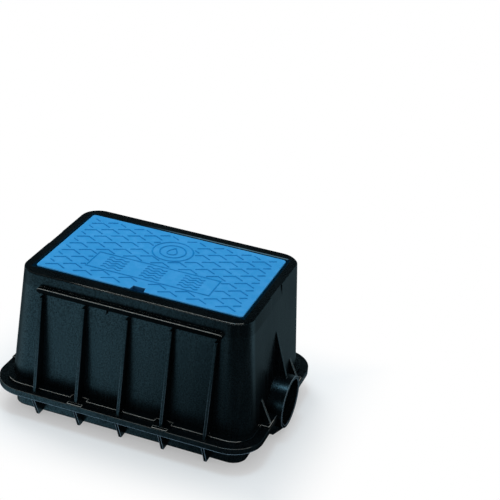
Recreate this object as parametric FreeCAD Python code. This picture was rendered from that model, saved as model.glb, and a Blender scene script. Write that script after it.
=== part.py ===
import FreeCAD, Part
import math
import os

V = FreeCAD.Vector

# Lid and hinge
lidLong = 375.0
lidDeep = 225.0
lidHigh = 18.0
lidPlate = 4.0
lidWall = 5.0
lidCorner = 6.0
lidProud = 1.5
lidEdge = 1.6
lidGap = 1.5
sweepGap = 0.75
pivotInset = 22.0
pivotDrop = 9.0
trunnionR = 5.0
trunnionLong = 9.5
trunnionPlay = 0.06
barrelR = 7.0
barrelLong = 30.0
stopReach = 16.5

# Lid ribs, pockets and pull
lidRib = 3.0
lidRibHigh = 10.0
rowShares = (0.195, 0.335, 0.494, 0.665, 0.793)
crossInner = 25.0
crossMiddle = 69.0
plateBayGap = 3.5
frontFan = ((-140.0, -123.0), (-77.0, -72.0), (-36.0, -30.0), (36.0, 30.0), (77.0, 72.0), (140.0, 123.0))
backFan = ((-127.0, -118.0), (-66.0, -63.0), (-22.0, -21.0), (22.0, 21.0), (66.0, 63.0), (127.0, 118.0))
hoopR = 60.0
hoopThick = 2.5
hoopHigh = 5.0
pullWide = 26.0
pullDeep = 12.0
pullSink = 9.0
pullFloor = 3.0
plateLong = 42.0
plateWide = 19.0
plateThick = 3.0
plateFit = 0.2
pocketWall = 1.5
latticeWide = 3.0
latticeHigh = 2.0
latticeRing = 4.5
latticeHole = 2.4
latticeStep = 8.0
latticeGap = 0.15

# Box tower and rim
rimTop = 267.5
rimBandLong = 21.0
rimBandDeep = 27.0
rimPlate = 5.0
rimEdge = 1.5
towerCorner = 36.0
wall = 4.5
endDraft = 0.085
sideDraft = 0.008
wellWall = 4.0
wellCorner = 7.5
wellBackDeep = 27.0
seatThick = 4.0
seatWide = 9.0
seatPadLong = 36.0
seatKeyHigh = 12.0
railWide = 4.0
socketLong = 12.0
socketHalf = 11.0
scoopHalf = 27.0
scoopDeep = 2.0
scoopHigh = 21.0

# Base
flangeTop = 52.5
flangePlate = 5.0
flangeReachX = 37.5
flangeReachY = 36.0
flangeCorner = 58.0
lipHigh = 11.0
lipThick = 4.0
skirtOutX = 9.5
skirtInY = 0.5
skirtCorner = 27.0
stepHigh = 4.0
stepInsetX = 15.5
stepInsetY = 16.5
stepCorner = 40.0
stepPadHalf = 88.0

# Outside ribs, rails and pipe collars
ribPitch = 79.0
ribCount = 5
ribThick = 5.0
ribTop = 230.0
railTop = 246.5
railHigh = 11.0
railUndercut = 3.5
railLip = 1.5
railProud = 9.0
railLong = 335.0
ribFootInset = 6.0
gussetSpread = 15.0
notchWide = 30.0
notchDeep = 9.0
padWide = 27.0
padDeep = 7.0
padHigh = 2.0
nubX = -40.0
nubThick = 3.0
nubHigh = 8.0
collarZ = 58.0
collarR = 47.0
collarWall = 5.0
collarProud = 7.5
endRibTop = 195.0
endRibInset = 10.5
endGussetY = 75.0
endGussetTop = 100.0
collarGussetY = 25.0
collarGussetToe = 18.0
innerRib = 4.0
innerRibReach = 16.0

# Sizes and places that follow from the ones above
rimLong = lidLong + 2 * rimBandLong
rimDeep = lidDeep + 2 * rimBandDeep
flangeLong = rimLong + 2 * flangeReachX
flangeDeep = rimDeep + 2 * flangeReachY
skirtLong = rimLong + 2 * skirtOutX
skirtDeep = rimDeep - 2 * skirtInY
stepLong = flangeLong - 2 * stepInsetX
stepDeep = flangeDeep - 2 * stepInsetY
railOut = rimDeep / 2 + railProud
ribFoot = flangeDeep / 2 - ribFootInset
gussetToe = skirtDeep / 2 + gussetSpread
collarFace = flangeLong / 2 + collarProud
endRibFoot = collarFace - endRibInset
crossOuter = crossMiddle + plateLong + 2 * plateBayGap
crossX = (-crossOuter, -crossMiddle, -crossInner, 0.0, crossInner, crossMiddle, crossOuter)
lidTop = rimTop + lidProud
lidFoot = lidTop - lidHigh
lidUnder = lidTop - lidPlate
pivotY = lidDeep / 2 - pivotInset
pivotZ = lidTop - pivotDrop
wellX = lidLong / 2 + lidGap
wellFrontY = -lidDeep / 2 - lidGap
wellBackY = pivotY + math.hypot(pivotInset, lidHigh - pivotDrop) + sweepGap
seatBackY = pivotY - stopReach
stepTop = flangeTop + stepHigh


def roundedWire(x0, x1, y0, y1, r, z):
    c = r * math.sqrt(0.5)
    lines = []
    lines.append(Part.makeLine(V(x0 + r, y0, z), V(x1 - r, y0, z)))
    lines.append(Part.Arc(V(x1 - r, y0, z), V(x1 - r + c, y0 + r - c, z), V(x1, y0 + r, z)).toShape())
    lines.append(Part.makeLine(V(x1, y0 + r, z), V(x1, y1 - r, z)))
    lines.append(Part.Arc(V(x1, y1 - r, z), V(x1 - r + c, y1 - r + c, z), V(x1 - r, y1, z)).toShape())
    lines.append(Part.makeLine(V(x1 - r, y1, z), V(x0 + r, y1, z)))
    lines.append(Part.Arc(V(x0 + r, y1, z), V(x0 + r - c, y1 - r + c, z), V(x0, y1 - r, z)).toShape())
    lines.append(Part.makeLine(V(x0, y1 - r, z), V(x0, y0 + r, z)))
    lines.append(Part.Arc(V(x0, y0 + r, z), V(x0 + r - c, y0 + r - c, z), V(x0 + r, y0, z)).toShape())
    return Part.Wire(lines)


def centredWire(long, deep, r, z):
    return roundedWire(-long / 2, long / 2, -deep / 2, deep / 2, r, z)


def block(long, deep, r, z0, z1):
    return Part.Face(centredWire(long, deep, r, z0)).extrude(V(0, 0, z1 - z0))


def offsetBlock(x0, x1, y0, y1, r, z0, z1):
    return Part.Face(roundedWire(x0, x1, y0, y1, r, z0)).extrude(V(0, 0, z1 - z0))


def box(x0, x1, y0, y1, z0, z1):
    return Part.makeBox(x1 - x0, y1 - y0, z1 - z0, V(x0, y0, z0))


def plateAcrossX(points, x, thick):
    corners = [V(x - thick / 2, y, z) for y, z in points]
    return Part.Face(Part.makePolygon(corners + corners[:1])).extrude(V(thick, 0, 0))


def plateAcrossY(points, y, thick):
    corners = [V(x, y - thick / 2, z) for x, z in points]
    return Part.Face(Part.makePolygon(corners + corners[:1])).extrude(V(0, thick, 0))


def plateAcrossZ(points, z0, z1):
    corners = [V(x, y, z0) for x, y in points]
    return Part.Face(Part.makePolygon(corners + corners[:1])).extrude(V(0, 0, z1 - z0))


def ribBetween(start, end, thick, z0, z1):
    dx = end[0] - start[0]
    dy = end[1] - start[1]
    span = math.hypot(dx, dy)
    nx = -dy / span * thick / 2
    ny = dx / span * thick / 2
    corners = [(start[0] + nx, start[1] + ny), (end[0] + nx, end[1] + ny)]
    corners += [(end[0] - nx, end[1] - ny), (start[0] - nx, start[1] - ny)]
    return plateAcrossZ(corners, z0, z1)


def towerLong(z):
    return rimLong + 2 * endDraft * (rimTop - z)


def towerDeep(z):
    return rimDeep + 2 * sideDraft * (rimTop - z)


def towerWire(z, grow):
    return centredWire(towerLong(z) + 2 * grow, towerDeep(z) + 2 * grow, towerCorner + grow, z)


def tower(z0, z1, grow):
    # a drafted block with its four upright edges rounded
    ends = []
    for z in (z0, z1):
        x = towerLong(z) / 2 + grow
        y = towerDeep(z) / 2 + grow
        ends.append([V(-x, -y, z), V(x, -y, z), V(x, y, z), V(-x, y, z)])
    low, high = ends
    loops = [low[::-1], high]
    for i in range(4):
        j = (i + 1) % 4
        loops.append([low[i], low[j], high[j], high[i]])
    faces = [Part.Face(Part.makePolygon(loop + loop[:1])) for loop in loops]
    solid = Part.makeSolid(Part.makeShell(faces))
    upright = [edge for edge in solid.Edges if abs(edge.Vertexes[0].Z - edge.Vertexes[1].Z) > 1]
    return solid.makeFillet(towerCorner + grow, upright)


def ribPositions():
    middle = (ribCount - 1) / 2
    return [(i - middle) * ribPitch for i in range(ribCount)]


def mirroredY(shape):
    return shape.mirror(V(0, 0, 0), V(0, 1, 0))


def mirroredX(shape):
    return shape.mirror(V(0, 0, 0), V(1, 0, 0))


def turned(shape):
    copy = shape.copy()
    copy.rotate(V(0, 0, 0), V(0, 0, 1), 180)
    return copy


def towerOutside():
    solid = tower(flangeTop, rimTop, 0)
    top = [edge for edge in solid.Edges if min(vertex.Z for vertex in edge.Vertexes) > rimTop - 0.01]
    return solid.makeChamfer(rimEdge, top)


def towerInside():
    return tower(flangeTop - 1, rimTop - rimPlate, -wall)


def baseFlange():
    plate = block(flangeLong, flangeDeep, flangeCorner, flangeTop - flangePlate, flangeTop)
    lip = block(flangeLong, flangeDeep, flangeCorner, flangeTop - lipHigh, flangeTop - 1)
    inside = block(flangeLong - 2 * lipThick, flangeDeep - 2 * lipThick, flangeCorner - lipThick,
                   flangeTop - lipHigh - 1, flangeTop)
    step = block(stepLong, stepDeep, stepCorner, flangeTop - 1, stepTop)
    pads = box(-flangeLong / 2 + 1, flangeLong / 2 - 1, -stepPadHalf, stepPadHalf, flangeTop - 1, stepTop)
    return plate.fuse([lip.cut(inside), step, pads])


def stepNotches():
    cuts = []
    for x in (-ribPitch, ribPitch):
        front = box(x - notchWide / 2, x + notchWide / 2, -stepDeep / 2 - 1, -stepDeep / 2 + notchDeep,
                    flangeTop, stepTop + 1)
        cuts += [front, mirroredY(front)]
    return cuts


def footPads():
    pads = []
    for x in (-ribPitch, ribPitch):
        front = box(x - padWide / 2, x + padWide / 2, -flangeDeep / 2 + 0.5, -flangeDeep / 2 + padDeep,
                    flangeTop - 1, flangeTop + padHigh)
        pads += [front, mirroredY(front)]
    return pads


def outsideRibs():
    pieces = []
    wallIn = rimDeep / 2 - wall / 2
    skirtIn = skirtDeep / 2 - wall / 2
    for x in ribPositions():
        upper = plateAcrossX([(-railOut, ribTop), (-ribFoot, flangeTop - 1), (-wallIn, flangeTop - 1),
                              (-wallIn, ribTop)], x, ribThick)
        lower = plateAcrossX([(-flangeDeep / 2 + 0.8, flangeTop - lipHigh + 1), (-gussetToe, 0), (-skirtIn, 0),
                              (-skirtIn, flangeTop - 1), (-flangeDeep / 2 + 0.8, flangeTop - 1)], x, ribThick)
        pieces += [upper, lower, mirroredY(upper), mirroredY(lower)]
    return pieces


def sideRails():
    # a round-ended bar whose face leans in towards its foot
    r = railHigh / 2
    y = -railOut
    half = railLong / 2
    top = railTop
    foot = railTop - railHigh
    edges = [Part.makeLine(V(-half + r, y, top), V(half - r, y, top))]
    edges.append(Part.Arc(V(half - r, y, top), V(half, y, top - r), V(half - r, y, foot)).toShape())
    edges.append(Part.makeLine(V(half - r, y, foot), V(-half + r, y, foot)))
    edges.append(Part.Arc(V(-half + r, y, foot), V(-half, y, top - r), V(-half + r, y, top)).toShape())
    rail = Part.Face(Part.Wire(edges)).extrude(V(0, railOut - rimDeep / 2 + wall / 2, 0))
    back = y + railUndercut
    under = plateAcrossX([(y - 1, top - railLip), (y, top - railLip), (back, foot), (back, foot - 1),
                          (y - 1, foot - 1)], 0, railLong + 2)
    nub = box(nubX - nubThick / 2, nubX + nubThick / 2, back + 0.5, -rimDeep / 2 + 1, foot - nubHigh, foot + 1)
    front = rail.cut(under).fuse(nub)
    return [front, turned(front)]


def endStiffeners():
    pieces = []
    inside = rimLong / 2
    wallAt = towerLong(endRibTop) / 2
    centre = plateAcrossY([(wallAt - 0.4, endRibTop), (endRibFoot, collarZ + collarR - 3),
                           (inside, collarZ + collarR - 3), (inside, endRibTop)], 0, ribThick)
    pieces.append(centre)
    sideAt = towerLong(endGussetTop) / 2
    for y in (-endGussetY, endGussetY):
        pieces.append(plateAcrossY([(sideAt - 0.4, endGussetTop), (flangeLong / 2 - 1, flangeTop),
                                    (inside + 8, flangeTop), (inside + 8, endGussetTop)], y, ribThick))
    toe = skirtLong / 2 + collarGussetToe
    skirtIn = skirtLong / 2 - wall / 2
    under = collarZ - math.sqrt(collarR ** 2 - collarGussetY ** 2)
    for y in (-collarGussetY, collarGussetY):
        pieces.append(plateAcrossY([(collarFace - 1, under + 1), (toe, 0), (skirtIn, 0), (skirtIn, under + 3),
                                    (collarFace - 1, under + 3)], y, ribThick))
    return pieces + [mirroredX(piece) for piece in pieces]


def collar(r, start, end):
    return Part.makeCylinder(r, end - start, V(start, 0, collarZ), V(1, 0, 0))


def skirtRing():
    outside = block(skirtLong, skirtDeep, skirtCorner, 0, flangeTop)
    return outside


def lidWell():
    # rim plate, the well that takes the lid, and the ledges it comes down on
    outside = offsetBlock(-wellX - wellWall, wellX + wellWall, wellFrontY - wellWall, wellBackY + wellWall,
                          wellCorner + wellWall, lidFoot - seatThick, rimTop - 1)
    back = box(-wellX - wellWall, wellX + wellWall, wellBackY, wellBackY + wellWall,
               rimTop - wellBackDeep, lidFoot)
    for x in (-1, 1):
        a = x * wellX
        b = x * (wellX + socketLong)
        outside = outside.fuse(box(min(a, b), max(a, b), pivotY - socketHalf, pivotY + socketHalf,
                                   pivotZ - socketHalf, rimTop - 1))
    return outside.fuse(back)


def wellHollow():
    main = offsetBlock(-wellX, wellX, wellFrontY, wellBackY, wellCorner, lidFoot, rimTop + 1)
    frontGap = offsetBlock(-wellX + railWide, wellX - railWide, wellFrontY + seatWide, wellBackY, wellCorner,
                           lidFoot - seatThick - 1, lidFoot + 1)
    behind = box(-wellX, wellX, seatBackY, wellBackY, rimTop - wellBackDeep - 1, lidFoot + 1)
    return [main, frontGap, behind]


def seatPads():
    # three pads a side, evenly spaced, the rear one with a key below it that stops the open lid
    pads = []
    start = wellFrontY + 1
    gap = (seatBackY - start - 3 * seatPadLong) / 2
    for side in (-1, 1):
        x0 = min(side * (wellX - seatWide), side * (wellX + 1))
        x1 = max(side * (wellX - seatWide), side * (wellX + 1))
        for i in range(3):
            y = start + i * (seatPadLong + gap)
            pads.append(box(x0, x1, y, y + seatPadLong, lidFoot - seatThick, lidFoot))
        pads.append(box(x0, x1, seatBackY - 5, seatBackY, lidFoot - seatKeyHigh, lidFoot))
    return pads


def insideRibs():
    # webs between the outer wall and the lid well, narrower towards the base
    pieces = []
    wallIn = rimDeep / 2 - wall / 2
    top = rimTop - rimPlate + 1
    for x in ribPositions():
        web = plateAcrossX([(-wallIn, top), (wellFrontY - wellWall + 1, top),
                            (wellFrontY - wellWall + 1, lidFoot - seatThick),
                            (-wallIn + innerRibReach - 3, flangeTop + 20), (-wallIn, flangeTop)], x, innerRib)
        rear = plateAcrossX([(wallIn, top), (wellBackY + wellWall - 1, top),
                             (wellBackY + wellWall - 1, rimTop - wellBackDeep),
                             (wallIn - innerRibReach + 3, flangeTop + 20), (wallIn, flangeTop)], x, innerRib)
        pieces += [web, rear]
    return pieces


def endScoops():
    # the shallow scoop at the middle of each end of the rim
    x0 = rimLong / 2
    top = rimTop + 0.1
    foot = rimTop - scoopHigh
    outer = x0 + endDraft * scoopHigh
    wedge = plateAcrossY([(x0 - scoopDeep, top), (x0 + 10, top), (x0 + 10, foot), (outer, foot)],
                         0, 2 * scoopHalf)
    return [wedge, mirroredX(wedge)]


def boxBody():
    solid = towerOutside().fuse([baseFlange(), skirtRing()])
    solid = solid.cut(Part.makeCompound(stepNotches()))
    solid = solid.fuse(outsideRibs() + sideRails() + endStiffeners() + footPads())
    solid = solid.fuse([collar(collarR, rimLong / 2, collarFace), mirroredX(collar(collarR, rimLong / 2, collarFace))])
    skirtInside = block(skirtLong - 2 * wall, skirtDeep - 2 * wall, skirtCorner - wall, -1, flangeTop + 1)
    solid = solid.cut(Part.makeCompound([towerInside(), skirtInside] + endScoops()))
    inside = lidWell().fuse(insideRibs())
    solid = solid.fuse(inside)
    solid = solid.cut(Part.makeCompound(wellHollow()))
    solid = solid.fuse(seatPads())
    bores = []
    for side in (1, -1):
        bore = Part.makeCylinder(trunnionR + trunnionPlay, trunnionLong + 2, V(side * (wellX - 1), pivotY, pivotZ),
                                 V(side, 0, 0))
        bores.append(bore)
    pipe = collar(collarR - collarWall, rimLong / 2 - 15, collarFace + 1)
    bores += [pipe, mirroredX(pipe)]
    solid = solid.cut(Part.makeCompound(bores))
    return solid.removeSplitter()


def lidShell():
    long = lidLong
    deep = lidDeep
    low = block(long, deep, lidCorner, lidFoot, lidTop - lidEdge)
    cap = Part.makeLoft([centredWire(long, deep, lidCorner, lidTop - lidEdge),
                         centredWire(long - 0.6 * lidEdge, deep - 0.6 * lidEdge, lidCorner, lidTop - 0.3 * lidEdge),
                         centredWire(long - 2 * lidEdge, deep - 2 * lidEdge, lidCorner, lidTop)], True, True)
    hollow = block(long - 2 * lidWall, deep - 2 * lidWall, lidCorner - 2, lidFoot - 1, lidUnder)
    return low.fuse(cap).cut(hollow)


def lidRibs():
    pieces = []
    foot = lidUnder - lidRibHigh
    top = lidUnder + 0.5
    edgeX = lidLong / 2 - lidWall / 2
    front = -lidDeep / 2 + lidWall / 2
    back = lidDeep / 2 - lidWall / 2
    rows = [-lidDeep / 2 + share * lidDeep for share in rowShares]
    for y in rows:
        pieces.append(box(-edgeX, edgeX, y - lidRib / 2, y + lidRib / 2, foot, top))
    for x in crossX:
        pieces.append(box(x - lidRib / 2, x + lidRib / 2, rows[0], rows[-1], foot, top))
    for outer, inner in frontFan:
        pieces.append(ribBetween((outer, front), (inner, rows[0]), lidRib, foot, top))
    for inner, outer in backFan:
        pieces.append(ribBetween((inner, rows[-1]), (outer, back), lidRib, foot, top))
    hoop = Part.makeCylinder(hoopR, hoopHigh + 0.5, V(0, 0, lidUnder - hoopHigh))
    pieces.append(hoop.cut(Part.makeCylinder(hoopR - hoopThick, 20, V(0, 0, lidUnder - 12))))
    return pieces


def pullPocket():
    y0 = -lidDeep / 2
    top = lidTop + 1
    cup = box(-pullWide / 2 - lidRib, pullWide / 2 + lidRib, y0 + 0.2, y0 + pullDeep + lidRib,
              lidTop - pullSink - pullFloor, lidTop - 0.5)
    hollow = plateAcrossZ([(-pullWide / 2, y0 - 1), (pullWide / 2, y0 - 1), (pullWide / 2 - 2, y0 + pullDeep),
                           (-pullWide / 2 + 2, y0 + pullDeep)], lidTop - pullSink, top)
    return cup, hollow


def platePlaces():
    rows = [-lidDeep / 2 + share * lidDeep for share in rowShares]
    x = (crossX[0] + crossX[1]) / 2
    lower = (rows[0] + rows[1]) / 2
    upper = (rows[3] + rows[4]) / 2
    return [(x, lower), (-x, lower), (x, upper), (-x, upper)]


def plateHolders():
    pieces = []
    for x, y in platePlaces():
        long = plateLong / 2 + plateFit
        deep = plateWide / 2 + plateFit
        ring = box(x - long - pocketWall, x + long + pocketWall, y - deep - pocketWall, y + deep + pocketWall,
                   lidUnder - plateThick, lidUnder + 0.5)
        pieces.append(ring.cut(box(x - long, x + long, y - deep, y + deep, lidUnder - plateThick - 1, lidUnder)))
        top = lidUnder - plateThick - latticeGap
        foot = top - latticeHigh
        reach = (crossX[1] - crossX[0]) / 2
        bar = box(x - reach, x + reach, y - latticeWide / 2, y + latticeWide / 2, foot, top)
        rings = []
        holes = []
        for side in (-1, 1):
            rings.append(Part.makeCylinder(latticeRing, latticeHigh, V(x + side * latticeStep, y, foot)))
            holes.append(Part.makeCylinder(latticeHole, latticeHigh + 2, V(x + side * latticeStep, y, foot - 1)))
        pieces.append(bar.fuse(rings).cut(Part.makeCompound(holes)))
    return pieces


def trunnions():
    pieces = []
    for side in (1, -1):
        start = lidLong / 2 - barrelLong
        pieces.append(Part.makeCylinder(barrelR, barrelLong, V(side * start, pivotY, pivotZ), V(side, 0, 0)))
        pieces.append(Part.makeCylinder(trunnionR, barrelLong + trunnionLong, V(side * start, pivotY, pivotZ),
                                        V(side, 0, 0)))
        a = side * (start - 3)
        b = side * (start + lidRib)
        pieces.append(box(min(a, b), max(a, b), pivotY - barrelR - 6, lidDeep / 2 - lidWall / 2,
                          lidUnder - lidRibHigh, lidUnder + 0.5))
    return pieces


def lid():
    solid = lidShell().fuse(lidRibs() + plateHolders())
    cup, hollow = pullPocket()
    pins = trunnions()
    solid = solid.fuse([cup] + pins)
    solid = solid.cut(hollow)
    return solid.removeSplitter()


def markerPlates():
    plates = []
    for x, y in platePlaces():
        plates.append(box(x - plateLong / 2, x + plateLong / 2, y - plateWide / 2, y + plateWide / 2,
                          lidUnder - plateThick, lidUnder))
    return plates


os.makedirs("parts", exist_ok=True)
nodes = {"box_body": boxBody(), "lid": lid()}
for number, plate in enumerate(markerPlates()):
    nodes["marker_plate_" + str(number + 1)] = plate
for name, shape in nodes.items():
    shape.exportStep("parts/" + name + ".step")
    print(name, shape.ShapeType, len(shape.Solids), shape.isValid(), round(shape.Volume / 1000, 1), shape.BoundBox)
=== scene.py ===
import math

import bmesh
import bpy
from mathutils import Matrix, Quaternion, Vector


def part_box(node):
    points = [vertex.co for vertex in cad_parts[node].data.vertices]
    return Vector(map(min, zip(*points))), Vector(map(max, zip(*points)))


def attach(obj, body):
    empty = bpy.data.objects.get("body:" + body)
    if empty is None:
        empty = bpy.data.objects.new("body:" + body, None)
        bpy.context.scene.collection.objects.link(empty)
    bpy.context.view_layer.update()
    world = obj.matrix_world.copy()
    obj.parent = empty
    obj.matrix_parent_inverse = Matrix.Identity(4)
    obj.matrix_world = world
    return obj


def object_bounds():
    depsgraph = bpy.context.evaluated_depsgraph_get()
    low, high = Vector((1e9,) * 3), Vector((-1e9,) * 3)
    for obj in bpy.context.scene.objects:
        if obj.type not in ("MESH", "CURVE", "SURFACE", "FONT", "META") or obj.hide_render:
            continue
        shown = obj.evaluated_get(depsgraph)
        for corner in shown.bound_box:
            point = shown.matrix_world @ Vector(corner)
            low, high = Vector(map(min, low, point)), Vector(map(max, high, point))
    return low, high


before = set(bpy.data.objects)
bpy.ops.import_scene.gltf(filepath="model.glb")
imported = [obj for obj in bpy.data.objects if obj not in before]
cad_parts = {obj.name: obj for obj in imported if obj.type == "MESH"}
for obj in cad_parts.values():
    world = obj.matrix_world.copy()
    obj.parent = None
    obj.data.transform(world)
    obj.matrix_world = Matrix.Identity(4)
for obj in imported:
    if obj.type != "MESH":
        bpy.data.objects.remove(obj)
cadLow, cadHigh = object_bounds()
print("frame loaded:", sorted(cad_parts))

mm = 0.001


# shader helpers

class Wire:
    # one socket, so that masks can be written as sums and products
    def __init__(self, tree, socket):
        self.tree = tree
        self.socket = socket

    def joined(self, operation, first, second):
        node = self.tree.nodes.new("ShaderNodeMath")
        node.operation = operation
        for slot, value in zip(node.inputs, (first, second)):
            if isinstance(value, Wire):
                self.tree.links.new(value.socket, slot)
            else:
                slot.default_value = value
        return Wire(self.tree, node.outputs[0])

    def __add__(self, other):
        return self.joined("ADD", self, other)

    def __radd__(self, other):
        return self.joined("ADD", other, self)

    def __sub__(self, other):
        return self.joined("SUBTRACT", self, other)

    def __rsub__(self, other):
        return self.joined("SUBTRACT", other, self)

    def __mul__(self, other):
        return self.joined("MULTIPLY", self, other)

    def size(self):
        return self.joined("ABSOLUTE", self, 0.0)

    def atMost(self, other):
        return self.joined("MINIMUM", self, other)

    def atLeast(self, other):
        return self.joined("MAXIMUM", self, other)

    def patchy(self, noise, least):
        # keeps only a least share of the mask where the noise is low
        return self * (noise * (1.0 - least) + least)


class Recipe:
    # a node tree being written, for a material or the world
    def __init__(self, owner):
        owner.use_nodes = True
        self.tree = owner.node_tree
        self.tree.nodes.clear()

    def node(self, kind, settings, values, output=0):
        node = self.tree.nodes.new(kind)
        for name, value in settings.items():
            setattr(node, name, value)
        for name, value in values.items():
            slot = node.inputs[name]
            if isinstance(value, Wire):
                self.tree.links.new(value.socket, slot)
            else:
                slot.default_value = value
        return Wire(self.tree, node.outputs[output]) if len(node.outputs) else None

    def span(self, value, limits, toLow=0.0, toHigh=1.0):
        return self.node("ShaderNodeMapRange", {"interpolation_type": "SMOOTHSTEP"},
                         {"Value": value, "From Min": limits[0], "From Max": limits[1],
                          "To Min": toLow, "To Max": toHigh})

    def below(self, value, limits):
        return self.span(value, limits, 1.0, 0.0)

    def blendColours(self, mask, first, second):
        # a mix node has its factor in socket 0 and its colours in 6 and 7
        return self.node("ShaderNodeMix", {"data_type": "RGBA"}, {0: mask, 6: first, 7: second}, 2)

    def blendVectors(self, mask, first, second):
        # a mix node has its vectors in sockets 4 and 5
        return self.node("ShaderNodeMix", {"data_type": "VECTOR"}, {0: mask, 4: first, 5: second}, 1)

    def blendShaders(self, mask, first, second):
        return self.node("ShaderNodeMixShader", {}, {0: mask, 1: first, 2: second})

    def stretched(self, place, scale):
        return self.node("ShaderNodeVectorMath", {"operation": "MULTIPLY"}, {0: place, 1: scale})

    def part(self, vector, axis):
        return self.node("ShaderNodeSeparateXYZ", {}, {"Vector": vector}, axis)


# moulded plastics; each pair holds the limits between which a mask fades in or out

moulded = {
    "samples": 6, "proud": (0.70, 0.93), "hollowShade": (0.35, 0.80), "under": (-0.25, -0.08), "underDark": 0.8,
    "mottle": (0.35, 0.70), "cloud": (0.30, 0.75), "scuff": (0.52, 0.72), "speck": (0.56, 0.70),
    "streak": (0.50, 0.72), "dullSpeck": (0.40, 0.62), "mattRough": 0.9,
    "wearHighlightLeast": 0.4, "speckLeast": 0.35, "backGlintLeast": 0.5, "glintLeast": 0.6,
}
# detail and roughness of each noise
noises = {
    "mottle": (4.0, 0.55), "cloud": (2.0, 0.55), "grain": (2.0, 0.6), "streak": (2.0, 0.55),
    "scuff": (6.0, 0.7), "speck": (5.0, 0.75),
}


def noiseOf(recipe, place, look, kind):
    detail, rough = noises[kind]
    return recipe.node("ShaderNodeTexNoise", {}, {"Vector": place, "Scale": look[kind + "Scale"],
                                                  "Detail": detail, "Roughness": rough})


def edgeMasks(recipe, look):
    # edges that stand proud are rounded, inner corners stay sharp; the mask is how far the normal leans
    samples = {"samples": moulded["samples"]}
    flat = recipe.node("ShaderNodeNewGeometry", {}, {}, "Normal")
    openTo = recipe.node("ShaderNodeAmbientOcclusion", samples | {"only_local": True},
                         {"Distance": look["edgeReach"]}, "AO")
    bevelled = recipe.node("ShaderNodeBevel", samples, {"Radius": look["edgeRadius"]})
    rounded = recipe.blendVectors(recipe.span(openTo, moulded["proud"]), flat, bevelled)
    same = recipe.node("ShaderNodeVectorMath", {"operation": "DOT_PRODUCT"}, {0: rounded, 1: flat}, "Value")
    edge = ((1.0 - same) * look["edgeGain"]).atMost(1.0)
    # the last mask marks hollows, which get painted shade
    return rounded, edge, recipe.below(openTo, moulded["hollowShade"])


def glintMasks(recipe, place, rounded, edge, glint):
    # painted highlights: proud edges that face upward are painted pale along the front and at the pads and
    # gussets of the ends
    up = recipe.part(rounded, "Z")
    sloping = recipe.span(up, glint["lean"]) * recipe.below(up, glint["level"])
    x = recipe.part(place, "X")
    y = recipe.part(place, "Y")
    z = recipe.part(place, "Z")
    step = recipe.below(z, glint["ribFoot"]) * recipe.below(y, glint["stepY"])
    front = recipe.below(y, glint["frontY"]) * recipe.span(z, glint["ribTop"]).atLeast(step * glint["stepGain"])
    ends = recipe.span(x.size(), glint["endX"]) * recipe.below(y.size(), glint["endY"])
    ends = ends * recipe.below(z, glint["endTop"])
    rimGlint = recipe.span(x, glint["rimX"], glint["rimLeast"], glint["rimGain"]) * recipe.span(up, glint["rimLean"])
    height = recipe.span(z, glint["flange"], glint["flangeShare"], 1.0)
    height = height * recipe.below(z, glint["rimFoot"]).atLeast(rimGlint)
    pale = (edge * sloping * height * front.atLeast(ends)).atMost(1.0)
    # painted highlights in a cooler grey on upright edges of the ribs and gussets along the front and on
    # the collars' rings
    ribs = recipe.below(y, glint["ribY"]) * (1.0 - sloping)
    high = recipe.span(z, glint["ribFoot"]) * recipe.below(z, glint["coolZ"]) * glint["ribShare"]
    ring = recipe.span(x.size(), glint["ringX"]) * recipe.below(y.size(), glint["collarY"]) * glint["ringShare"]
    coolGlint = edge * (ribs * recipe.below(z, glint["underFlange"]).atLeast(high)).atLeast(ring)
    return pale, coolGlint


def paintGlints(recipe, place, masks, scuff, glint, colour):
    pale, coolGlint = glintMasks(recipe, place, *masks, glint)
    # painted highlights: cool grey edges, then pale lines, bluish grey near the collars
    colour = recipe.blendColours(coolGlint * glint["coolGlintShare"], colour, glint["coolGlintColour"])
    nearCollar = recipe.below(recipe.part(place, "Y").size(), glint["collarY"])
    glintPaint = recipe.blendColours(nearCollar, glint["colour"], glint["collarGlintColour"])
    return recipe.blendColours(pale.patchy(scuff, moulded["glintLeast"]) * glint["share"], colour, glintPaint)


def lipped(recipe, place, scuff, lip, topShadeColour, colour):
    # on the rim's top: painted shade that darkens it, a painted reflection of the lid in a band beside the
    # lid, and a painted highlight line along the back
    x = recipe.part(place, "X")
    y = recipe.part(place, "Y")
    awayX = (x - lip["midX"]).size() - lip["halfX"]
    awayY = (y - lip["midY"]).size() - lip["halfY"]
    top = recipe.span(recipe.part(place, "Z"), lip["top"])
    # painted reflection of the blue lid in a band beside it
    lidReflection = recipe.below(awayX.atLeast(awayY), lip["lidReflection"]) * top
    # painted highlight along the inner edge at the back
    backGlint = recipe.below((awayY - lip["lineAt"]).size(), lip["backGlint"]) * top
    backGlint = backGlint * recipe.span(y, lip["lineY"]) * recipe.span(x, lip["lineX"])
    backGlint = backGlint * recipe.below(awayX, lip["pastEnd"])
    # painted shade darkens the rim's top
    colour = recipe.blendColours(top * lip["topShadeShare"], colour, topShadeColour)
    colour = recipe.blendColours(lidReflection, colour, lip["lidReflectionColour"])
    return recipe.blendColours(backGlint.patchy(scuff, moulded["backGlintLeast"]), colour, lip["backGlintColour"]), lidReflection


def pulled(recipe, place, pull, colour):
    # painted shade on the floor of the pull, which lies deep
    low = recipe.below(recipe.part(place, "X").size(), pull["x"])
    low = low * recipe.below(recipe.part(place, "Y"), pull["y"])
    low = low * recipe.below(recipe.part(place, "Z"), pull["z"])
    return recipe.blendColours(low * pull["share"], colour, pull["colour"])


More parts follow.
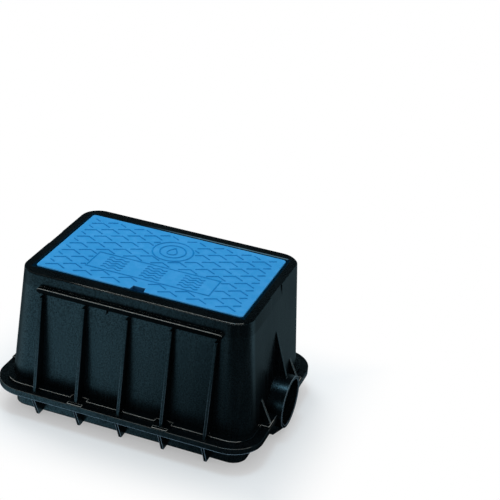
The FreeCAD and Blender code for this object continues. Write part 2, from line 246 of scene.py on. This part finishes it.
def plastic(name, look):
    # moulded plastic: mottled colour, a fine grain, edge wear with painted highlights, and painted shade in
    # hollows and on undersides
    made = bpy.data.materials.new(name)
    recipe = Recipe(made)
    place = recipe.node("ShaderNodeTexCoord", {}, {}, "Object")
    rounded, edge, hollowShade = edgeMasks(recipe, look)
    mottle = recipe.span(noiseOf(recipe, place, look, "mottle"), moulded["mottle"])
    cloud = recipe.span(noiseOf(recipe, place, look, "cloud"), moulded["cloud"])
    scuff = recipe.span(noiseOf(recipe, place, look, "scuff"), moulded["scuff"])
    grain = noiseOf(recipe, place, look, "grain")
    pebble = noiseOf(recipe, place, look, "speck")
    streak = noiseOf(recipe, recipe.stretched(place, (1.0, 1.0, look["streakStretch"])), look, "streak")
    # painted shade: faces that turn downward are marked to be darkened and made matt
    under = recipe.span(recipe.part(rounded, "Z"), moulded["under"], look["underShare"], 0.0)

    colour = recipe.blendColours(mottle * look["mottleShare"], look["colour"], look["mottleColour"])
    colour = recipe.blendColours(cloud * look["cloudShare"], colour, look["cloudColour"])
    # painted highlight on proud edges, pale on the lid, with a little wear on the box and plates
    wearAndHighlight = edge.patchy(scuff, moulded["wearHighlightLeast"]) * look["wearHighlightShare"]
    colour = recipe.blendColours(wearAndHighlight, colour, look["wearHighlightColour"])
    speck = recipe.span(pebble, moulded["speck"]).patchy(cloud, moulded["speckLeast"])
    colour = recipe.blendColours(speck * look["speckShare"], colour, look["speckColour"])
    drawn = recipe.span(streak, moulded["streak"]) * look["streakShare"]
    colour = recipe.blendColours(drawn, colour, look["speckColour"])
    # painted shade in hollows and on faces that turn downward
    colour = recipe.blendColours(hollowShade * look["hollowShadeShare"], colour, look["paintedShadeColour"])
    colour = recipe.blendColours(under * moulded["underDark"], colour, look["paintedShadeColour"])

    slant = recipe.node("ShaderNodeLayerWeight", {}, {"Blend": 0.5, "Normal": rounded}, "Facing")
    dull = recipe.span(slant, look["dull"], 0.0, look["dullShare"]).atLeast(under)
    dull = dull.atLeast(recipe.span(pebble, moulded["dullSpeck"]) * look["speckDull"])
    if "lip" in look:
        # painted shade, lid reflection and highlight on the rim's top
        colour, lidReflection = lipped(recipe, place, scuff, look["lip"], look["paintedShadeColour"], colour)
        dull = dull.atLeast(lidReflection)
    if "pull" in look:
        # painted shade in the pull
        colour = pulled(recipe, place, look["pull"], colour)
    if "glint" in look:
        glint = look["glint"]
        # painted highlight lines on the proud edges
        colour = paintGlints(recipe, place, (rounded, edge), scuff, glint, colour)
        # above the rail the front is a little duller
        strip = recipe.span(recipe.part(place, "Z"), glint["stripZ"])
        strip = strip * recipe.span(recipe.part(place, "Y"), glint["stripY"], glint["stripDull"], 0.0)
        dull = 1.0 - (1.0 - dull) * (1.0 - strip)

    rough = look["rough"] + (cloud - 0.5) * look["roughCloud"] + (streak - 0.5) * look["roughStreak"]
    rough = rough + scuff * look["roughScuff"]
    height = grain * look["grainHeight"] + streak * look["streakHeight"]
    bump = recipe.node("ShaderNodeBump", {},
                       {"Height": height, "Distance": 1.0, "Strength": 1.0, "Normal": rounded})
    glossy = recipe.node("ShaderNodeBsdfPrincipled", {},
                         {"Base Color": colour, "Roughness": rough, "Normal": bump, "IOR": look["ior"],
                          "Specular IOR Level": look["gloss"], "Specular Tint": look["glossTint"]})
    matt = recipe.node("ShaderNodeBsdfPrincipled", {},
                       {"Base Color": colour, "Roughness": moulded["mattRough"], "Normal": bump,
                        "Specular IOR Level": 0.0})
    recipe.node("ShaderNodeOutputMaterial", {}, {"Surface": recipe.blendShaders(dull, glossy, matt)})
    return made


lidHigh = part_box("lid")[1]
faceDepth = 0.0003
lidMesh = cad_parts["lid"].data
lidFace = [vertex.co for vertex in lidMesh.vertices if vertex.co.z > lidHigh.z - faceDepth]
faceX = (min(corner.x for corner in lidFace), max(corner.x for corner in lidFace))
faceY = (min(corner.y for corner in lidFace), max(corner.y for corner in lidFace))

boxLook = {
    "colour": (0.0008, 0.0012, 0.0015, 1), "mottleColour": (0.0014, 0.0022, 0.0028, 1),
    "cloudColour": (0.0016, 0.0028, 0.0034, 1), "wearHighlightColour": (0.050, 0.050, 0.045, 1),
    "mottleScale": 90.0, "mottleShare": 0.6, "cloudScale": 9.0, "cloudShare": 0.5,
    "grainScale": 900.0, "grainHeight": 0.00004, "scuffScale": 60.0,
    "streakScale": 160.0, "streakStretch": 0.04, "streakHeight": 0.00006, "streakShare": 0.08,
    "speckScale": 420.0, "speckShare": 0.17, "speckDull": 0.7, "speckColour": (0.022, 0.028, 0.028, 1),
    "edgeRadius": 0.0020, "edgeGain": 9.0, "edgeReach": 0.006, "wearHighlightShare": 0.02,
    # painted shade colour for hollows, undersides and the rim's top
    "hollowShadeShare": 0.0, "paintedShadeColour": (0.0004, 0.0005, 0.0006, 1), "underShare": 0.95,
    "rough": 0.28, "roughCloud": 0.08, "roughStreak": 0.14, "roughScuff": 0.06,
    "ior": 1.5, "gloss": 0.68, "glossTint": (0.56, 0.86, 1.0, 1),
    "dull": (0.25, 0.70), "dullShare": 0.86,
    # painted highlights on the box's proud edges, and a duller strip above the rail
    "glint": {
        "share": 0.95, "colour": (0.84, 0.82, 0.74, 1), "collarGlintColour": (0.22, 0.28, 0.30, 1),
        "lean": (0.28, 0.50), "level": (0.90, 0.98),
        "frontY": (-0.133, -0.127), "ribTop": (0.240, 0.242), "ribFoot": (0.060, 0.062),
        "stepY": (-0.152, -0.148), "stepGain": 1.8, "flange": (0.053, 0.055), "flangeShare": 0.12,
        "endX": (0.209, 0.211), "endY": (0.092, 0.095), "endTop": (0.105, 0.109),
        "rimFoot": (0.260, 0.262), "rimX": (-0.115, -0.075), "rimLeast": 0.1, "rimGain": 1.6,
        "rimLean": (0.48, 0.66), "collarY": (0.060, 0.064),
        "coolGlintShare": 0.9, "coolGlintColour": (0.24, 0.36, 0.46, 1), "ribY": (-0.145, -0.141),
        "ribShare": 0.26, "coolZ": (0.09, 0.19), "underFlange": (0.043, 0.045),
        "ringX": (0.250, 0.251), "ringShare": 0.5,
        "stripZ": (0.240, 0.243), "stripY": (-0.10, 0.0), "stripDull": 0.3,
    },
    # painted shade on the rim's top, a painted reflection of the lid beside it, a painted highlight along
    # the back
    "lip": {
        "midX": sum(faceX) / 2, "halfX": (faceX[1] - faceX[0]) / 2,
        "midY": sum(faceY) / 2, "halfY": (faceY[1] - faceY[0]) / 2,
        "top": (cadHigh[2] - 0.006, cadHigh[2] - 0.003), "topShadeShare": 0.65,
        "lidReflection": (0.0060, 0.0080), "lidReflectionColour": (0.0008, 0.0085, 0.0175, 1),
        "lineAt": 0.0085, "backGlint": (0.0014, 0.0020), "lineX": (-0.10, 0.03), "lineY": (0.0, 0.01),
        "pastEnd": (0.0, 0.004), "backGlintColour": (0.130, 0.260, 0.340, 1),
    },
}
lidLook = {
    "colour": (0.031, 0.270, 0.580, 1), "mottleColour": (0.058, 0.312, 0.645, 1),
    # the wear colour paints a pale highlight on the lid's edges
    "cloudColour": (0.020, 0.234, 0.538, 1), "wearHighlightColour": (0.30, 0.66, 0.93, 1),
    "mottleScale": 70.0, "mottleShare": 0.6, "cloudScale": 14.0, "cloudShare": 0.45,
    "grainScale": 1100.0, "grainHeight": 0.00003, "scuffScale": 75.0,
    "streakScale": 120.0, "streakStretch": 1.0, "streakHeight": 0.00003, "streakShare": 0.0,
    "speckScale": 300.0, "speckShare": 0.25, "speckDull": 0.0, "speckColour": (0.066, 0.312, 0.655, 1),
    "edgeRadius": 0.0012, "edgeGain": 5.0, "edgeReach": 0.010, "wearHighlightShare": 0.9,
    # painted shade in the lid's hollows and on its undersides
    "hollowShadeShare": 0.9, "paintedShadeColour": (0.004, 0.045, 0.140, 1), "underShare": 0.5,
    "rough": 0.48, "roughCloud": 0.08, "roughStreak": 0.04, "roughScuff": 0.08,
    "ior": 1.48, "gloss": 0.20, "glossTint": (1.0, 1.0, 1.0, 1),
    "dull": (0.3, 0.6), "dullShare": 0.8,
    # painted shade in the pull
    "pull": {
        "x": (0.022, 0.023), "y": (-0.096, -0.095), "z": (lidHigh.z - 0.0015, lidHigh.z - 0.0005),
        "share": 0.8, "colour": (0.006, 0.050, 0.135, 1),
    },
}
# painted shade: the raised work is a darker copy of the lid plastic
ridgeShadedLook = lidLook | {
    "colour": (0.004, 0.195, 0.480, 1), "mottleColour": (0.012, 0.240, 0.550, 1),
    "cloudColour": (0.001, 0.150, 0.400, 1), "speckColour": (0.018, 0.255, 0.570, 1),
    "wearHighlightShare": 0.0, "hollowShadeShare": 0.0,
}
plateLook = {
    "colour": (0.010, 0.011, 0.014, 1), "mottleColour": (0.016, 0.017, 0.020, 1),
    "cloudColour": (0.012, 0.014, 0.018, 1), "wearHighlightColour": (0.05, 0.055, 0.06, 1),
    "mottleScale": 120.0, "mottleShare": 0.6, "cloudScale": 30.0, "cloudShare": 0.4,
    "grainScale": 1200.0, "grainHeight": 0.00003, "scuffScale": 110.0,
    "streakScale": 150.0, "streakStretch": 1.0, "streakHeight": 0.00002, "streakShare": 0.0,
    "speckScale": 500.0, "speckShare": 0.15, "speckDull": 0.2, "speckColour": (0.030, 0.032, 0.036, 1),
    "edgeRadius": 0.0005, "edgeGain": 4.0, "edgeReach": 0.003, "wearHighlightShare": 0.4,
    "hollowShadeShare": 0.0, "paintedShadeColour": (0.004, 0.004, 0.005, 1), "underShare": 0.5,
    "rough": 0.55, "roughCloud": 0.08, "roughStreak": 0.04, "roughScuff": 0.06,
    "ior": 1.48, "gloss": 0.4, "glossTint": (1.0, 1.0, 1.0, 1),
    "dull": (0.4, 0.8), "dullShare": 0.3,
}

boxPlastic = plastic("black_box_plastic", boxLook)
lidPlastic = plastic("blue_lid_plastic", lidLook)
ridgeShadedPlastic = plastic("blue_tread_shaded_plastic", ridgeShadedLook)
platePlastic = plastic("dark_plate_plastic", plateLook)
finishes = {"box_body": (boxPlastic, "body_plastic"), "lid": (lidPlastic, "lid_plastic")}


def dressNode(name, finish, slotName):
    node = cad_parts[name]
    node.data.materials.clear()
    node.data.materials.append(finish)


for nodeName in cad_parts:
    dressNode(nodeName, *finishes.get(nodeName, (platePlastic, "plate_plastic")))
print("moulded parts dressed")


# raised work on the lid, drawn as paths in millimetres from the lid's middle

lidTop = lidHigh.z

ridge = {
    "sink": 0.2, "shoulder": (0.88, 0.55), "crown": (0.5, 0.93), "mitreLimit": 0.4,
    "endTaper": 0.9, "endShare": 0.45,
}


def sideOffsets(path, closed):
    # unit sideways vectors at each point, lengthened at the mitres
    count = len(path)
    offsets = []
    for i, point in enumerate(path):
        before = path[i - 1] if closed or i > 0 else None
        after = path[(i + 1) % count] if closed or i < count - 1 else None
        into = (point - before).normalized() if before is not None else (after - point).normalized()
        out = (after - point).normalized() if after is not None else into
        along = (into + out).normalized()
        side = Vector((-along.y, along.x))
        offsets.append(side / max(ridge["mitreLimit"], side.dot(Vector((-into.y, into.x)))))
    return offsets


def ridgeProfile(half, high):
    flank = [(half, -ridge["sink"])]
    flank += [(across * half, up * high) for across, up in (ridge["shoulder"], ridge["crown"])]
    return [(-across, up) for across, up in flank] + [(0.0, high)] + flank[::-1]


def addRidge(mesh, path, closed, wide, high):
    # a low rounded bar that follows the path; open ends taper down
    profile = ridgeProfile(wide / 2, high)
    points = [Vector(p) for p in path]
    sides = sideOffsets(points, closed)
    stations = [(p, s, 1.0) for p, s in zip(points, sides)]
    if not closed:
        first = points[0] + (points[0] - points[1]).normalized() * ridge["endTaper"]
        last = points[-1] + (points[-1] - points[-2]).normalized() * ridge["endTaper"]
        share = ridge["endShare"]
        stations = [(first, sides[0], share)] + stations + [(last, sides[-1], share)]
    rows = []
    for point, side, share in stations:
        row = []
        for across, up in profile:
            at = point + side * (across * (1.0 + share) / 2)
            lift = max(up * share, -ridge["sink"])
            row.append(mesh.verts.new((at.x * mm, at.y * mm, lidTop + lift * mm)))
        rows.append(row)
    loops = rows + rows[:1] if closed else rows
    for near, far in zip(loops, loops[1:]):
        for i in range(len(profile) - 1):
            mesh.faces.new((near[i], far[i], far[i + 1], near[i + 1]))
    if not closed:
        mesh.faces.new(rows[0])
        mesh.faces.new(rows[-1][::-1])


def finishRaised(mesh, name):
    bmesh.ops.recalc_face_normals(mesh, faces=mesh.faces)
    data = bpy.data.meshes.new(name)
    mesh.to_mesh(data)
    mesh.free()
    for face in data.polygons:
        face.use_smooth = True
    piece = bpy.data.objects.new(name, data)
    bpy.context.scene.collection.objects.link(piece)
    data.materials.append(ridgeShadedPlastic)
    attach(piece, "lid")


emblem = {
    "centre": (-1.4, 44.4), "outerR": 36.2, "innerR": 23.2, "clear": 40.5, "wide": 2.6, "high": 1.2,
    "outerSteps": 72, "innerSteps": 60,
    "dropHalf": 11.875, "dropFoot": 12.6, "dropTall": 26.4, "dropPinch": 1.3, "dropSteps": 40,
    "dropWide": 2.08,
}
panel = {
    "left": -112.5, "right": 113.0, "low": -73.8, "high": -18.0, "wide": 2.4, "tall": 1.2, "clear": 3.2,
    "markX": (-70.8, 0.5, 70.2), "markHalf": 18.0, "markWide": 2.16,
    "waves": 5, "waveGap": 9.0, "swing": 2.2, "swings": 2, "waveSteps": 24,
}
tread = {
    "firstX": -155.8, "firstY": -92.2, "pitchX": 25.85, "pitchY": 29.76,
    "columns": (-2, 15), "rows": (-2, 9),
    "armLeft": 18.0, "armRight": 16.0, "armDrop": 9.7, "wide": 2.4, "high": 1.3,
    "shortest": 6.0, "steps": 40, "joinGap": 0.1,
    "left": -175.0, "right": 173.5, "low": -103.5, "back": 99.5,
    "pullHalf": 20.0, "pullTop": -86.0,
}


def circlePath(centre, radius, count):
    turns = [2 * math.pi * i / count for i in range(count)]
    return [(centre[0] + radius * math.cos(a), centre[1] + radius * math.sin(a)) for a in turns]


def dropPath(centre):
    # a plain water drop: round below, drawn out to a point above
    path = []
    for i in range(emblem["dropSteps"]):
        turn = 2 * math.pi * (i + 0.5) / emblem["dropSteps"]
        lift = (1 + math.cos(turn)) / 2
        pinch = math.sin(turn) * math.sin(turn / 2) ** emblem["dropPinch"]
        path.append((centre[0] + emblem["dropHalf"] * pinch,
                     centre[1] - emblem["dropFoot"] + emblem["dropTall"] * lift))
    return path


def lidEmblem():
    mesh = bmesh.new()
    centre = emblem["centre"]
    for ring in ("outer", "inner"):
        path = circlePath(centre, emblem[ring + "R"], emblem[ring + "Steps"])
        addRidge(mesh, path, True, emblem["wide"], emblem["high"])
    addRidge(mesh, dropPath(centre), True, emblem["dropWide"], emblem["high"])
    finishRaised(mesh, "lid_emblem")


def wavePath(x, y):
    shares = [i / panel["waveSteps"] for i in range(panel["waveSteps"] + 1)]
    turn = 2 * math.pi * panel["swings"]
    return [(x + panel["markHalf"] * (2 * share - 1), y + panel["swing"] * math.sin(turn * share))
            for share in shares]


def lidPanel():
    mesh = bmesh.new()
    left, right, low, high = panel["left"], panel["right"], panel["low"], panel["high"]
    corners = [(left, low), (right, low), (right, high), (left, high)]
    addRidge(mesh, corners, True, panel["wide"], panel["tall"])
    lowest = (low + high - (panel["waves"] - 1) * panel["waveGap"]) / 2
    for x in panel["markX"]:
        for i in range(panel["waves"]):
            path = wavePath(x, lowest + i * panel["waveGap"])
            addRidge(mesh, path, False, panel["markWide"], panel["tall"])
    finishRaised(mesh, "lid_panel")


def onTread(x, y):
    # the field leaves out the margin, the emblem, the panel and the pull
    if not (tread["left"] < x < tread["right"] and tread["low"] < y < tread["back"]):
        return False
    if math.hypot(x - emblem["centre"][0], y - emblem["centre"][1]) < emblem["clear"]:
        return False
    edge = panel["clear"]
    if panel["left"] - edge < x < panel["right"] + edge and panel["low"] - edge < y < panel["high"] + edge:
        return False
    return not (abs(x) < tread["pullHalf"] and y < tread["pullTop"])


def keptStretch(start, end):
    # the longest stretch of an arm that lies on the tread field
    best, run = [], []
    for i in range(tread["steps"] + 1):
        share = i / tread["steps"]
        at = (start[0] + (end[0] - start[0]) * share, start[1] + (end[1] - start[1]) * share)
        run = run + [at] if onTread(*at) else []
        best = run if len(run) > len(best) else best
    if len(best) < 2 or math.dist(best[0], best[-1]) < tread["shortest"]:
        return None
    return best[0], best[-1]


def lidTread():
    mesh = bmesh.new()
    for column in range(*tread["columns"]):
        x = tread["firstX"] + column * tread["pitchX"]
        for row in range(*tread["rows"]):
            # every second column is set half a pitch back
            y = tread["firstY"] + (row + (column % 2) / 2) * tread["pitchY"]
            left = keptStretch((x - tread["armLeft"], y - tread["armDrop"]), (x, y))
            right = keptStretch((x, y), (x + tread["armRight"], y - tread["armDrop"]))
            if left and right and math.dist(left[1], right[0]) < tread["joinGap"]:
                paths = [[left[0], (x, y), right[1]]]
            else:
                paths = [list(arm) for arm in (left, right) if arm]
            for path in paths:
                addRidge(mesh, path, False, tread["wide"], tread["high"])
    finishRaised(mesh, "lid_tread")


lidEmblem()
lidPanel()
lidTread()
print("lid tread, panel and emblem raised")


# floor, backdrop and light

studio = {
    "floorHalf": 12.0, "floorColour": (0.93, 0.935, 0.94, 1), "footLong": 0.245, "footDeep": 0.17,
    "shade": (0.0, 0.15), "haze": 0.35, "fill": 0.71, "fillColour": (0.97, 0.985, 1.0, 1),
    "sweep": (0.20, 0.34), "dark": 0.03, "mirrorColour": (0.55, 0.87, 1.0, 1), "white": (1, 1, 1, 1),
    # painted shade seen only in reflections: the floor's glow dims to the right front
    "rightX": (-0.22, 0.20), "rightDim": 0.06, "frontY": (-0.95, -0.75), "frontDim": 0.2,
    "backY": (-0.02, 0.18),
}
lamps = {
    "key": {"place": (-1.15, 1.05, 1.75), "size": (1.2, 1.2), "power": 15.0, "colour": (1.0, 1.0, 1.0),
            "mirrored": False},
    "top": {"place": (0.05, -0.15, 2.00), "size": (0.42, 0.42), "power": 7.1, "colour": (0.54, 0.84, 1.0),
            "mirrored": True},
}
lampAim = Vector((0.0, 0.0, 0.12))


def paleRays(recipe):
    # camera rays, and all rays that meet the pale surroundings: camera, glossy and transmission
    path = recipe.tree.nodes.new("ShaderNodeLightPath")
    camera, glossy, through = [Wire(recipe.tree, path.outputs[name])
                               for name in ("Is Camera Ray", "Is Glossy Ray", "Is Transmission Ray")]
    return camera, camera.atLeast(glossy).atLeast(through)


def floorMesh():
    mesh = bmesh.new()
    half = studio["floorHalf"]
    corners = ((-half, -half), (half, -half), (half, half), (-half, half))
    mesh.faces.new([mesh.verts.new((x, y, 0.0)) for x, y in corners])
    data = bpy.data.meshes.new("studio_floor")
    mesh.to_mesh(data)
    mesh.free()
    return data


def floorFinish():
    made = bpy.data.materials.new("pale_floor")
    recipe = Recipe(made)
    place = recipe.node("ShaderNodeTexCoord", {}, {}, "Object")
    x = recipe.part(place, "X")
    y = recipe.part(place, "Y")
    away = (x.size() - studio["footLong"]).atLeast(y.size() - studio["footDeep"])
    camera, seen = paleRays(recipe)
    # near the box the camera sees the lit floor with its shadow, farther out plain white
    fade = (recipe.span(away, studio["shade"], studio["haze"], 1.0) * camera).atLeast(seen - camera)
    # reflections meet a pale table with painted shade: its glow dims to the right front and far out
    reflectedShade = recipe.span(x, studio["rightX"], 1.0, studio["rightDim"])
    reflectedShade = reflectedShade * recipe.span(y, studio["frontY"], studio["frontDim"], 1.0)
    mirrored = reflectedShade.atLeast(recipe.span(y, studio["backY"]))
    matt = recipe.node("ShaderNodeBsdfDiffuse", {}, {"Color": studio["floorColour"], "Roughness": 0.0})
    # painted reflection colour: reflections see the floor tinted blue
    tint = recipe.blendColours(camera, studio["mirrorColour"], studio["white"])
    pale = recipe.node("ShaderNodeEmission", {}, {"Color": tint, "Strength": mirrored.atLeast(camera)})
    recipe.node("ShaderNodeOutputMaterial", {}, {"Surface": recipe.blendShaders(fade, matt, pale)})
    return made


def paleFloor():
    data = floorMesh()
    data.materials.append(floorFinish())
    floor = bpy.data.objects.new("studio_floor", data)
    bpy.context.scene.collection.objects.link(floor)


def studioWorld():
    world = bpy.data.worlds.new("studio_world")
    bpy.context.scene.world = world
    recipe = Recipe(world)
    direction = recipe.node("ShaderNodeTexCoord", {}, {}, "Generated")
    camera, seen = paleRays(recipe)
    shown = recipe.span(recipe.part(direction, "Z"), studio["sweep"], 1.0, studio["dark"]).atLeast(camera)
    tint = recipe.blendColours(camera, studio["mirrorColour"], studio["white"])
    fill = recipe.node("ShaderNodeBackground", {},
                       {"Color": studio["fillColour"], "Strength": studio["fill"]})
    pale = recipe.node("ShaderNodeBackground", {}, {"Color": tint, "Strength": shown})
    recipe.node("ShaderNodeOutputWorld", {}, {"Surface": recipe.blendShaders(seen, fill, pale)})


def hangLamp(name, lamp):
    data = bpy.data.lights.new(name, "AREA")
    data.shape = "RECTANGLE"
    data.size, data.size_y = lamp["size"]
    data.energy = lamp["power"]
    data.color = lamp["colour"]
    lampObject = bpy.data.objects.new(name, data)
    lampObject.location = lamp["place"]
    lampObject.rotation_mode = "QUATERNION"
    lampObject.rotation_quaternion = (lampAim - Vector(lamp["place"])).to_track_quat("-Z", "Y")
    lampObject.visible_glossy = lamp["mirrored"]
    bpy.context.scene.collection.objects.link(lampObject)


paleFloor()
studioWorld()
for lampName, lampValues in lamps.items():
    hangLamp("lamp_" + lampName, lampValues)
bpy.context.scene.view_settings.view_transform = "Standard"
print("floor and lamps set")


# the photograph's viewing angle

viewing = {
    "place": (0.7648, -1.9109, 1.3448), "aim": (0.0384, 0.3615, 0.1400), "rollDeg": 5.245,
    "lens": 96.57, "sensor": 36.0,
}


def placeCamera():
    data = bpy.data.cameras.new("viewing_camera")
    data.lens = viewing["lens"]
    data.sensor_width = viewing["sensor"]
    camera = bpy.data.objects.new("viewing_camera", data)
    bpy.context.scene.collection.objects.link(camera)
    look = (Vector(viewing["aim"]) - Vector(viewing["place"])).to_track_quat("-Z", "Y")
    camera.rotation_mode = "QUATERNION"
    camera.location = viewing["place"]
    camera.rotation_quaternion = look @ Quaternion((0, 0, 1), math.radians(viewing["rollDeg"]))
    bpy.context.scene.camera = camera


placeCamera()
print("camera placed")
